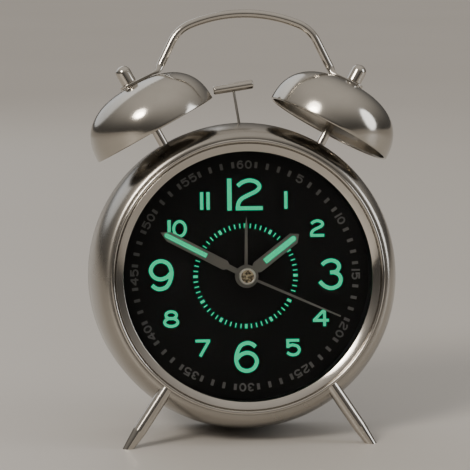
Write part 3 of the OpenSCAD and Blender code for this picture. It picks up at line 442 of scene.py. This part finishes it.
def handle_mesh():
    """A round rod whose two ends are bent and flattened into tabs."""
    sides, spacing, lines, flat_from = 32, 0.6, [], []
    for side in (-1, 1):
        pts, bend = half_handle(side * HANDLE_SHIFT)
        flat_from.append(length(pts[pts.index(bend):]) + FLAT_EARLY)
        lines.append([Vector((side * p.x, p.y)) for p in pts])
    path = along(lines[0][::-1] + lines[1][1:], spacing)
    total, done = length(path), 0.0
    verts, faces = [], []
    for i, p in enumerate(path):
        a, b = path[max(0, i - 1)], path[min(len(path) - 1, i + 1)]
        if i:
            done += (p - path[i - 1]).length
        reach, mine = min((done, flat_from[0]), (total - done, flat_from[1]))
        flat = smoothstep((mine - reach) / FLATTEN)
        t = (b - a).normalized()
        n = Vector((-t.y, t.x))
        half_w = ROD_R + (TAB_W / 2 - ROD_R) * flat
        half_t = ROD_R + (TAB_T / 2 - ROD_R) * flat
        if reach < half_w:
            half_w *= sqrt(max(LEAST_END, 1 - (1 - reach / half_w) ** 2))
        power = 1 / (1.0 + SQUARER * flat)
        for k in range(sides):
            c, v = cos(2 * pi * k / sides), sin(2 * pi * k / sides)
            c = abs(c) ** power * (1 if c > 0 else -1)
            v = abs(v) ** power * (1 if v > 0 else -1)
            q = p + n * half_t * v
            verts.append((q.x, q.y, -BELL_Z + half_w * c))
    for i in range(len(path) - 1):
        for k in range(sides):
            j = (k + 1) % sides
            faces.append((i * sides + k, i * sides + j, (i + 1) * sides + j, (i + 1) * sides + k))
    faces.append(tuple(range(sides))[::-1])
    faces.append(tuple(len(verts) - sides + k for k in range(sides)))
    return verts, faces


make("handle_bar", *handle_mesh(), STAND, "case", "bright_steel", ("handle",))


# ---- Case drum, with the hammer's slot left open ----
CASE_SIDES = 168
DRUM_MID = 30.0
# Width of the flat lip and how far its inner edge falls back
LIP_IN, LIP_FALL = 1.0, 0.02


def drum_mesh():
    """Inner and outer skins of the drum as one closed shell, open at the front and back."""
    slot = (BELL_Z - SLOT_T / 2, BELL_Z + SLOT_T / 2)

    def curve(r_out, z0, depth):
        turns = [radians(a) for a in range(0, 91, 3)]
        pts = [(LIP_R + (r_out - LIP_R) * sin(a), z0 + depth * (1 - cos(a))) for a in turns]
        for cut in slot:
            after = next(i for i, q in enumerate(pts) if q[1] > cut)
            (r0, d0), (r1, d1) = pts[after - 1], pts[after]
            pts.insert(after, (r0 + (r1 - r0) * (cut - d0) / (d1 - d0), cut))
        return pts + [(r_out, DRUM_MID), (r_out, COVER_Z)]

    outer = curve(CASE_R, LIP_Z, SHOULDER_D)
    inner = curve(CASE_R - WALL, LIP_Z + WALL, SHOULDER_D - WALL)
    outer = [(LIP_R - LIP_IN, LIP_Z + LIP_FALL)] + outer
    inner = [(LIP_R - LIP_IN, LIP_Z + WALL)] + inner
    half = round(SLOT_W / 2 / CASE_R / (2 * pi / CASE_SIDES))
    top = round(CASE_SIDES / 4)
    n = len(outer)
    verts = [v for r, d in outer + inner for v in circle(r, -d, CASE_SIDES)]

    def at(skin, i, k):
        return (skin * n + i) * CASE_SIDES + k % CASE_SIDES

    rows = [i for i in range(n - 1) if slot[0] - TINY < outer[i][1] < slot[1] - TINY]
    faces = []
    for i in range(n - 1):
        for k in range(CASE_SIDES):
            if i in rows and top - half <= k < top + half:
                continue
            faces.append((at(0, i, k), at(0, i, k + 1), at(0, i + 1, k + 1), at(0, i + 1, k)))
            faces.append((at(1, i, k), at(1, i + 1, k), at(1, i + 1, k + 1), at(1, i, k + 1)))
    for i in (0, n - 1):
        faces += [(at(0, i, k), at(1, i, k), at(1, i, k + 1), at(0, i, k + 1))
                  for k in range(CASE_SIDES)]
    for i in rows:
        for k in (top - half, top + half):
            faces.append((at(0, i, k), at(0, i + 1, k), at(1, i + 1, k), at(1, i, k)))
    for i in (rows[0], rows[-1] + 1):
        for k in range(top - half, top + half):
            faces.append((at(0, i, k), at(0, i, k + 1), at(1, i, k + 1), at(1, i, k)))
    return verts, faces


make("case_drum", *drum_mesh(), STAND, "case", "drum", ("case_shell",))

# ---- Bezel: bevel, groove and bead, then the skirt inside the case ----
BEVEL_LOW, BEVEL_TOP, GROOVE = 1.6, (51.2, -0.35), (51.45, -0.9)
SKIRT_OUT, SKIRT_IN, SKIRT_Z, CLEAR = 51.7, 50.6, 14.3, 0.05
bead = arc_points(BEAD_S, BEAD_S, BEAD_R, -BEAD_S, 200, -90, 20)
bevel = [(WINDOW_R, -LENS_Z + CLEAR), (WINDOW_R, -BEVEL_LOW), BEVEL_TOP, GROOVE, bead[0]]
skirt = [(BEAD_R, -LIP_Z + CLEAR), (SKIRT_OUT, -LIP_Z + CLEAR), (SKIRT_OUT, -SKIRT_Z),
         (SKIRT_IN, -SKIRT_Z), (SKIRT_IN, -LENS_Z + CLEAR)]
bezel_profile = fillet(bevel, 0.15) + bead[1:] + skirt
make("bezel_rim", *lathe(bezel_profile, 200), STAND, "case", "bezel", ("bezel_ring",))

# ---- Nuts and hammer head ----
DOME_H, NUT_EDGE = NUT_R * 0.92, 0.25
for side, word in SIDES:
    dome = arc_points(NUT_R, DOME_H, 0, NUT_SIDE, 0, 90, 14)
    profile = [(BOLT_R, 0.0), (NUT_R - NUT_EDGE, 0.0), (NUT_R, NUT_EDGE)] + dome[:-1]
    profile += [(0, NUT_SIDE + DOME_H), (0, NUT_SIDE), (BOLT_R, NUT_SIDE)]
    verts, faces = lathe(profile, 64)
    verts = [(x, y, h + NUT_LOW) for x, y, h in verts]
    make("bell_nut_%s" % word, verts, faces, bell_frame(side), "case", "bright_steel",
         ("cap_nuts",) if side < 0 else ())

pivot = Matrix.Translation((PIVOT[0], PIVOT[1], -BELL_Z))
swing = STAND @ pivot @ Matrix.Rotation(HAMMER_LEAN, 4, "Z")
head_frame = swing @ Matrix.Translation((0, HAMMER_L, 0)) @ Matrix.Rotation(pi / 2, 4, "Y")
END, EDGE = HEAD_L / 2, 0.35
profile = fillet([(0, -END), (HEAD_R - EDGE, -END), (HEAD_R, -END + EDGE), (HEAD_R, END - EDGE),
                  (HEAD_R - EDGE, END), (0, END)], 0.12)
make("hammer_striker", *lathe(profile, 48, False), head_frame, "hammer", "bright_steel",
     ("hammer_head",))

# ---- Dial print ----
def spline(points, per=8):
    """Smooth curve through the points."""
    p = [Vector(q) for q in points]
    p = [2 * p[0] - p[1]] + p + [2 * p[-1] - p[-2]]
    out = []
    for a, b, c, d in zip(p, p[1:], p[2:], p[3:]):
        for k in range(per):
            t = k / per
            out.append(0.5 * (2 * b + (c - a) * t + (2 * a - 5 * b + 4 * c - d) * t * t
                              + (3 * b - a - 3 * c + d) * t ** 3))
    return out + [p[-2]]


def oval(cx, cy, rx, ry, steps=40):
    """A whole ellipse, whose last point is its first."""
    turns = [radians(360 * k / steps) for k in range(steps + 1)]
    return [Vector((cx + rx * cos(a), cy + ry * sin(a))) for a in turns]


def straight(x0, y0, x1, y1, x2, y2):
    """A stroke through three points on a line."""
    return [Vector((x0, y0)), Vector((x1, y1)), Vector((x2, y2))]


# Centre lines of the digits in a box one unit high; each entry is (width, strokes).
DIGITS = {
    "0": (0.80, [oval(0.40, 0.5, 0.40, 0.5)]),
    "1": (0.0, [straight(0, 0, 0, 0.5, 0, 1)]),
    "2": (0.83, [spline([(0.0, 0.80), (0.17, 0.93), (0.43, 1.0), (0.68, 0.93), (0.79, 0.775),
                         (0.68, 0.62), (0.42, 0.49), (0.15, 0.35), (0.03, 0.19), (0.0, 0.0)]),
                 straight(-0.08, 0.0, 0.40, 0.0, 0.90, 0.0)]),
    "3": (0.78, [spline([(0.09, 0.84), (0.23, 0.95), (0.43, 1.0), (0.63, 0.93), (0.71, 0.775),
                         (0.64, 0.63), (0.52, 0.575), (0.38, 0.565)]),
                 spline([(0.38, 0.565), (0.55, 0.56), (0.71, 0.47), (0.77, 0.30), (0.68, 0.10),
                         (0.43, 0.0), (0.18, 0.08), (0.0, 0.25)])]),
    "4": (0.90, [straight(0.68, 1.0, 0.35, 0.67, 0.02, 0.34),
                 straight(-0.05, 0.34, 0.50, 0.34, 1.06, 0.34),
                 straight(0.76, 1.06, 0.76, 0.5, 0.76, -0.07)]),
    "5": (0.85, [straight(-0.06, 1.0, 0.40, 1.0, 0.84, 1.0),
                 straight(0.05, 1.04, 0.05, 0.75, 0.05, 0.48),
                 spline([(0.05, 0.55), (0.22, 0.66), (0.45, 0.68), (0.73, 0.58), (0.84, 0.34),
                         (0.72, 0.10), (0.45, 0.0), (0.20, 0.05), (0.0, 0.18)])]),
    "6": (0.74, [spline([(0.70, 0.86), (0.57, 0.96), (0.40, 1.0), (0.17, 0.91), (0.03, 0.65),
                         (0.0, 0.36), (0.12, 0.10), (0.38, 0.0), (0.63, 0.10), (0.74, 0.34),
                         (0.63, 0.56), (0.40, 0.65), (0.17, 0.58), (0.03, 0.44)])]),
    "7": (0.90, [straight(-0.04, 1.0, 0.45, 1.0, 0.98, 1.0),
                 straight(0.90, 1.0, 0.59, 0.47, 0.28, -0.06)]),
    "8": (0.88, [oval(0.44, 0.76, 0.36, 0.24), oval(0.44, 0.27, 0.45, 0.27)]),
}
six_w, six = DIGITS["6"]
DIGITS["9"] = (six_w, [[Vector((six_w - p.x, 1 - p.y)) for p in stroke] for stroke in six])


def ribbon(points, half, base, top, verts, faces):
    """A flat raised stroke of constant width along a line of points."""
    first, closed = len(verts), (points[0] - points[-1]).length < TINY
    pts = points[:-1] if closed else points
    count = len(pts)
    for i, p in enumerate(pts):
        a = pts[i - 1] if closed or i else pts[0]
        b = pts[(i + 1) % count] if closed or i < count - 1 else pts[-1]
        t = (b - a).normalized()
        n = Vector((-t.y, t.x)) * half
        for q, z in ((p - n, base), (p - n * 0.96, top), (p + n * 0.96, top), (p + n, base)):
            verts.append((q.x, q.y, z))
    for i in range(count if closed else count - 1):
        a, b = first + 4 * i, first + 4 * ((i + 1) % count)
        faces += [(a, b, b + 1, a + 1), (a + 1, b + 1, b + 2, a + 2), (a + 2, b + 2, b + 3, a + 3),
                  (a + 3, b + 3, b, a)]
    if not closed:
        last = first + 4 * (count - 1)
        faces += [(first, first + 1, first + 2, first + 3), (last + 3, last + 2, last + 1, last)]


# Thickness of the luminous paint and of the grey print, and how far paint goes into a hand
LUME_T, PRINT_T, SINK = 0.14, 0.06, 0.02
PRINT_BASE, LUME_TOP, PRINT_TOP = -DIAL_Z, -DIAL_Z + LUME_T, -DIAL_Z + PRINT_T
# Each further stroke of a digit stands this much higher, so that no two tops share a plane
STROKE_STEP = 0.004
# A 1 is a little bolder than the other digits: half its width, in strokes
ONE_HALF = 0.56


def number(text, centre, height, stroke, turn, top, verts, faces, gap=0.33):
    """Sets a number with its middle at `centre`; turn is clockwise from upright, in degrees."""
    h = height - stroke
    widths = [DIGITS[c][0] * h for c in text]
    total = sum(widths) + gap * height * (len(text) - 1)
    x = -total / 2
    spin = Matrix.Rotation(-radians(turn), 2)
    for c, w in zip(text, widths):
        for k, s in enumerate(DIGITS[c][1]):
            tall, half = (height, stroke * ONE_HALF) if c == "1" else (h, stroke / 2)
            line = [spin @ Vector((x + p.x * h, (p.y - 0.5) * tall)) + Vector(centre) for p in s]
            ribbon(line, half, PRINT_BASE, top + STROKE_STEP * k, verts, faces)
        x += w + gap * height


def polar(r, clock):
    """A point at a radius, clockwise from the top in degrees."""
    return (r * sin(radians(clock)), r * cos(radians(clock)))


def bar(r0, r1, clock, width, base, top, verts, faces):
    a, b = Vector(polar(r0, clock)), Vector(polar(r1, clock))
    ribbon([a, (a + b) / 2, b], width / 2, base, top, verts, faces)


# Luminous numbers: the text, its middle, its height and stroke, and the gap between digits.
BIG, SMALL = (12.5, 1.62), (6.9, 1.2)
LUMINOUS = [("12", (0.15, 31.8), BIG, 0.26), ("3", (33.35, 0.15), BIG, 0.3),
            ("6", (0.0, -31.6), BIG, 0.3), ("9", (-33.0, 0.8), BIG, 0.3),
            ("1", (16.15, 29.4), SMALL, 0.3), ("2", (28.4, 18.3), SMALL, 0.3),
            ("4", (29.1, -16.9), SMALL, 0.3), ("5", (18.4, -28.3), SMALL, 0.3),
            ("7", (-17.2, -27.9), SMALL, 0.3), ("8", (-29.3, -16.3), SMALL, 0.3),
            ("10", (-26.5, 18.7), SMALL, 0.26), ("11", (-15.6, 29.4), SMALL, 0.36)]
verts, faces = [], []
for text, centre, (height, stroke), gap in LUMINOUS:
    number(text, centre, height, stroke, 0, LUME_TOP, verts, faces, gap)
make("dial_numbers", verts, faces, STAND, "case", "lume")

# Ring of ticks: inner and outer radius, width at the hours and between them.
RING_IN, RING_OUT, HOUR_TICK, MINUTE_TICK = 18.7, 20.5, 1.1, 0.5
verts, faces = [], []
for i in range(60):
    width = MINUTE_TICK if i % 5 else HOUR_TICK
    bar(RING_IN, RING_OUT, 6 * i, width, PRINT_BASE, LUME_TOP, verts, faces)
make("dial_inner_ring", verts, faces, STAND, "case", "lume")

# Minute track: ticks, with a number every five minutes.
TRACK_R, TICK_L, TICK_W, TRACK_H, TRACK_STROKE = 43.4, 2.4, 1.15, 3.3, 0.62
verts, faces = [], []
for i in range(60):
    if i % 5:
        bar(TRACK_R - TICK_L / 2, TRACK_R + TICK_L / 2, 6 * i, TICK_W, PRINT_BASE, PRINT_TOP,
            verts, faces)
    else:
        number(str(i or 60), polar(TRACK_R, 6 * i), TRACK_H, TRACK_STROKE, 6 * i, PRINT_TOP,
               verts, faces, 0.36)
make("dial_minute_track", verts, faces, STAND, "case", "print")


# ---- Hands ----
def lume_strip(name, clock, r0, r1, width, z, body):
    """Glow paint along a hand, square at the hub end and round at the tip."""
    half, low, high = width / 2, -z - SINK, -z + LUME_T
    turns = [radians(a) for a in range(0, 181, 12)]
    outline = [(-half, r0), (half, r0)]
    outline += [(half * cos(a), r1 - half + half * sin(a)) for a in turns]
    middle = len(outline)
    inset = [(x * 0.86, y + (0.12 if y < r0 + 1 else -0.12)) for x, y in outline]
    verts = [(x, y, low) for x, y in outline] + [(x, y, high) for x, y in inset]
    faces = [(i, (i + 1) % middle, middle + (i + 1) % middle, middle + i) for i in range(middle)]
    faces.append(tuple(range(middle, 2 * middle)))
    faces.append(tuple(range(middle))[::-1])
    make(name, verts, faces, STAND @ Matrix.Rotation(-radians(clock), 4, "Z"), body, "lume")


lume_strip("hour_hand_glow", HOUR_AT, 9.1, 24.5, 2.35, HOUR_Z, "hour_hand")
lume_strip("minute_hand_glow", MINUTE_AT, 17.5, 35.9, 1.85, MINUTE_Z, "minute_hand")

# The cap on the hands: a bright ring round a brass centre with a turned, dimpled face.
CAP_SIDES = 72
ring = fillet([(CAP_IN, -SECOND_Z), (CAP_IN, -CAP_Z - 0.1), (CAP_IN + 0.2, -CAP_Z),
               (CAP_R - 0.3, -CAP_Z), (CAP_R, -CAP_Z - 0.35), (CAP_R, -SECOND_Z)], 0.1)
cap_ring = make("cap_ring", *lathe(ring, CAP_SIDES), STAND, "second_hand", "bright_steel",
                ("hand_cap",))
cap_ring.data.materials[0] = RING
DIMPLES, RINGS, RELIEF = 9, 14, 0.10
# The centre lies this far behind the ring's front at its middle, near it, and further at its edge
MIDDLE, BEHIND, EDGE_FALL = 0.28, 0.3, 0.12
verts = [(0, 0, -CAP_Z - MIDDLE)]
for i in range(1, RINGS + 1):
    r = CAP_IN * i / RINGS
    for k in range(CAP_SIDES):
        a = 2 * pi * k / CAP_SIDES
        relief = RELIEF * sin(i * pi * 3 / RINGS) * cos(DIMPLES * a + i * 0.5) * i / RINGS
        fall = EDGE_FALL * (i / RINGS) ** 2
        verts.append((r * cos(a), r * sin(a), -CAP_Z - BEHIND - fall + relief))
verts += circle(CAP_IN, -SECOND_Z, CAP_SIDES)
faces = disc_faces(RINGS + 1, CAP_SIDES)
faces.append(tuple(range(len(verts) - CAP_SIDES, len(verts)))[::-1])
cap_centre = make("cap_centre", verts, faces, STAND, "second_hand", "brass", (), 60.0)
cap_centre.data.materials[0] = WORN


# ---- Stage, lights and camera ----
def stage_floor():
    """A flat pale table top with a rounded outline, centred a little behind the clock."""
    mesh = bpy.data.meshes.new("floor")
    sides, behind, radii = 64, 0.5, (0.15, 0.4, 0.9, 2.0, 5.0, 12.0)
    verts = [(0, behind, 0)]
    for r in radii:
        verts += [(x, y + behind, 0) for x, y, _ in circle(r, 0, sides)]
    mesh.from_pydata(verts, [], disc_faces(len(radii), sides))
    obj = bpy.data.objects.new("floor", mesh)
    bpy.context.scene.collection.objects.link(obj)
    n = Nodes("floor_paint")
    paint = n.mix(n.noise(3.0, 2.0), (0.56, 0.535, 0.50), (0.52, 0.495, 0.46))
    n.link(paint, n.shader.inputs["Base Color"])
    n.set(Roughness=0.45)
    mesh.materials.append(n.mat)


stage_floor()

world = bpy.data.worlds.new("studio")
bpy.context.scene.world = world
world.use_nodes = True
sky = world.node_tree
sky.nodes["Background"].inputs["Color"].default_value = (0.80, 0.755, 0.70, 1)
toward = sky.nodes.new("ShaderNodeTexCoord")
height = sky.nodes.new("ShaderNodeSeparateXYZ")
soft = sky.nodes.new("ShaderNodeMapRange")
soft.interpolation_type = "SMOOTHSTEP"
for key, value in (("From Min", 0.0), ("From Max", 1.0), ("To Min", 0.10), ("To Max", 0.85)):
    soft.inputs[key].default_value = value
sky.links.new(toward.outputs["Generated"], height.inputs[0])
sky.links.new(height.outputs["Z"], soft.inputs["Value"])
sky.links.new(soft.outputs["Result"], sky.nodes["Background"].inputs["Strength"])


def light(name, kind, place, energy, tint, **settings):
    lamp = bpy.data.lights.new(name, kind)
    lamp.energy, lamp.color = energy, tint
    for key, value in settings.items():
        setattr(lamp, key, value)
    obj = bpy.data.objects.new(name, lamp)
    obj.location = place
    obj.rotation_euler = (Vector((0, 0, 0.08)) - Vector(place)).to_track_quat("-Z", "Y").to_euler()
    bpy.context.scene.collection.objects.link(obj)


WARM, COOL = (1.0, 0.93, 0.84), (0.93, 0.96, 1.0)
light("sun", "SUN", (-0.9, -1.0, 1.1), 1.1, WARM, angle=radians(22))
light("key", "AREA", (-0.72, -0.85, 0.86), 5.0, WARM, shape="ELLIPSE", size=0.36, size_y=0.3)
light("side", "AREA", (0.9, -0.25, 0.4), 2.4, COOL, shape="ELLIPSE", size=0.45, size_y=0.65)
light("rear", "AREA", (-0.5, 0.95, 0.6), 2.2, COOL, shape="ELLIPSE", size=1.2, size_y=0.9)

# Camera: the clock's frame is turned, tipped and set back from the camera.
CAM_YAW, CAM_PITCH, CAM_ROLL = 0.107, 0.015, 0.012
CAM_SIDE, CAM_RISE, CAM_BACK = 5.47, -16.13, 900.0
CAM_LENS = 179.3
SENSOR = 36.0
view = (Matrix.Translation((CAM_SIDE, CAM_RISE, -CAM_BACK)) @ Matrix.Rotation(CAM_ROLL, 4, "Z")
        @ Matrix.Rotation(CAM_PITCH, 4, "X") @ Matrix.Rotation(CAM_YAW, 4, "Y"))
place = STAND @ view.inverted()
cam = bpy.data.objects.new("camera", bpy.data.cameras.new("camera"))
cam.location = place.to_translation()
cam.rotation_euler = place.to_3x3().normalized().to_euler()
cam.data.sensor_width = SENSOR
cam.data.lens = CAM_LENS
cam.data.clip_start, cam.data.clip_end = 0.05, 20
bpy.context.scene.collection.objects.link(cam)
bpy.context.scene.camera = cam
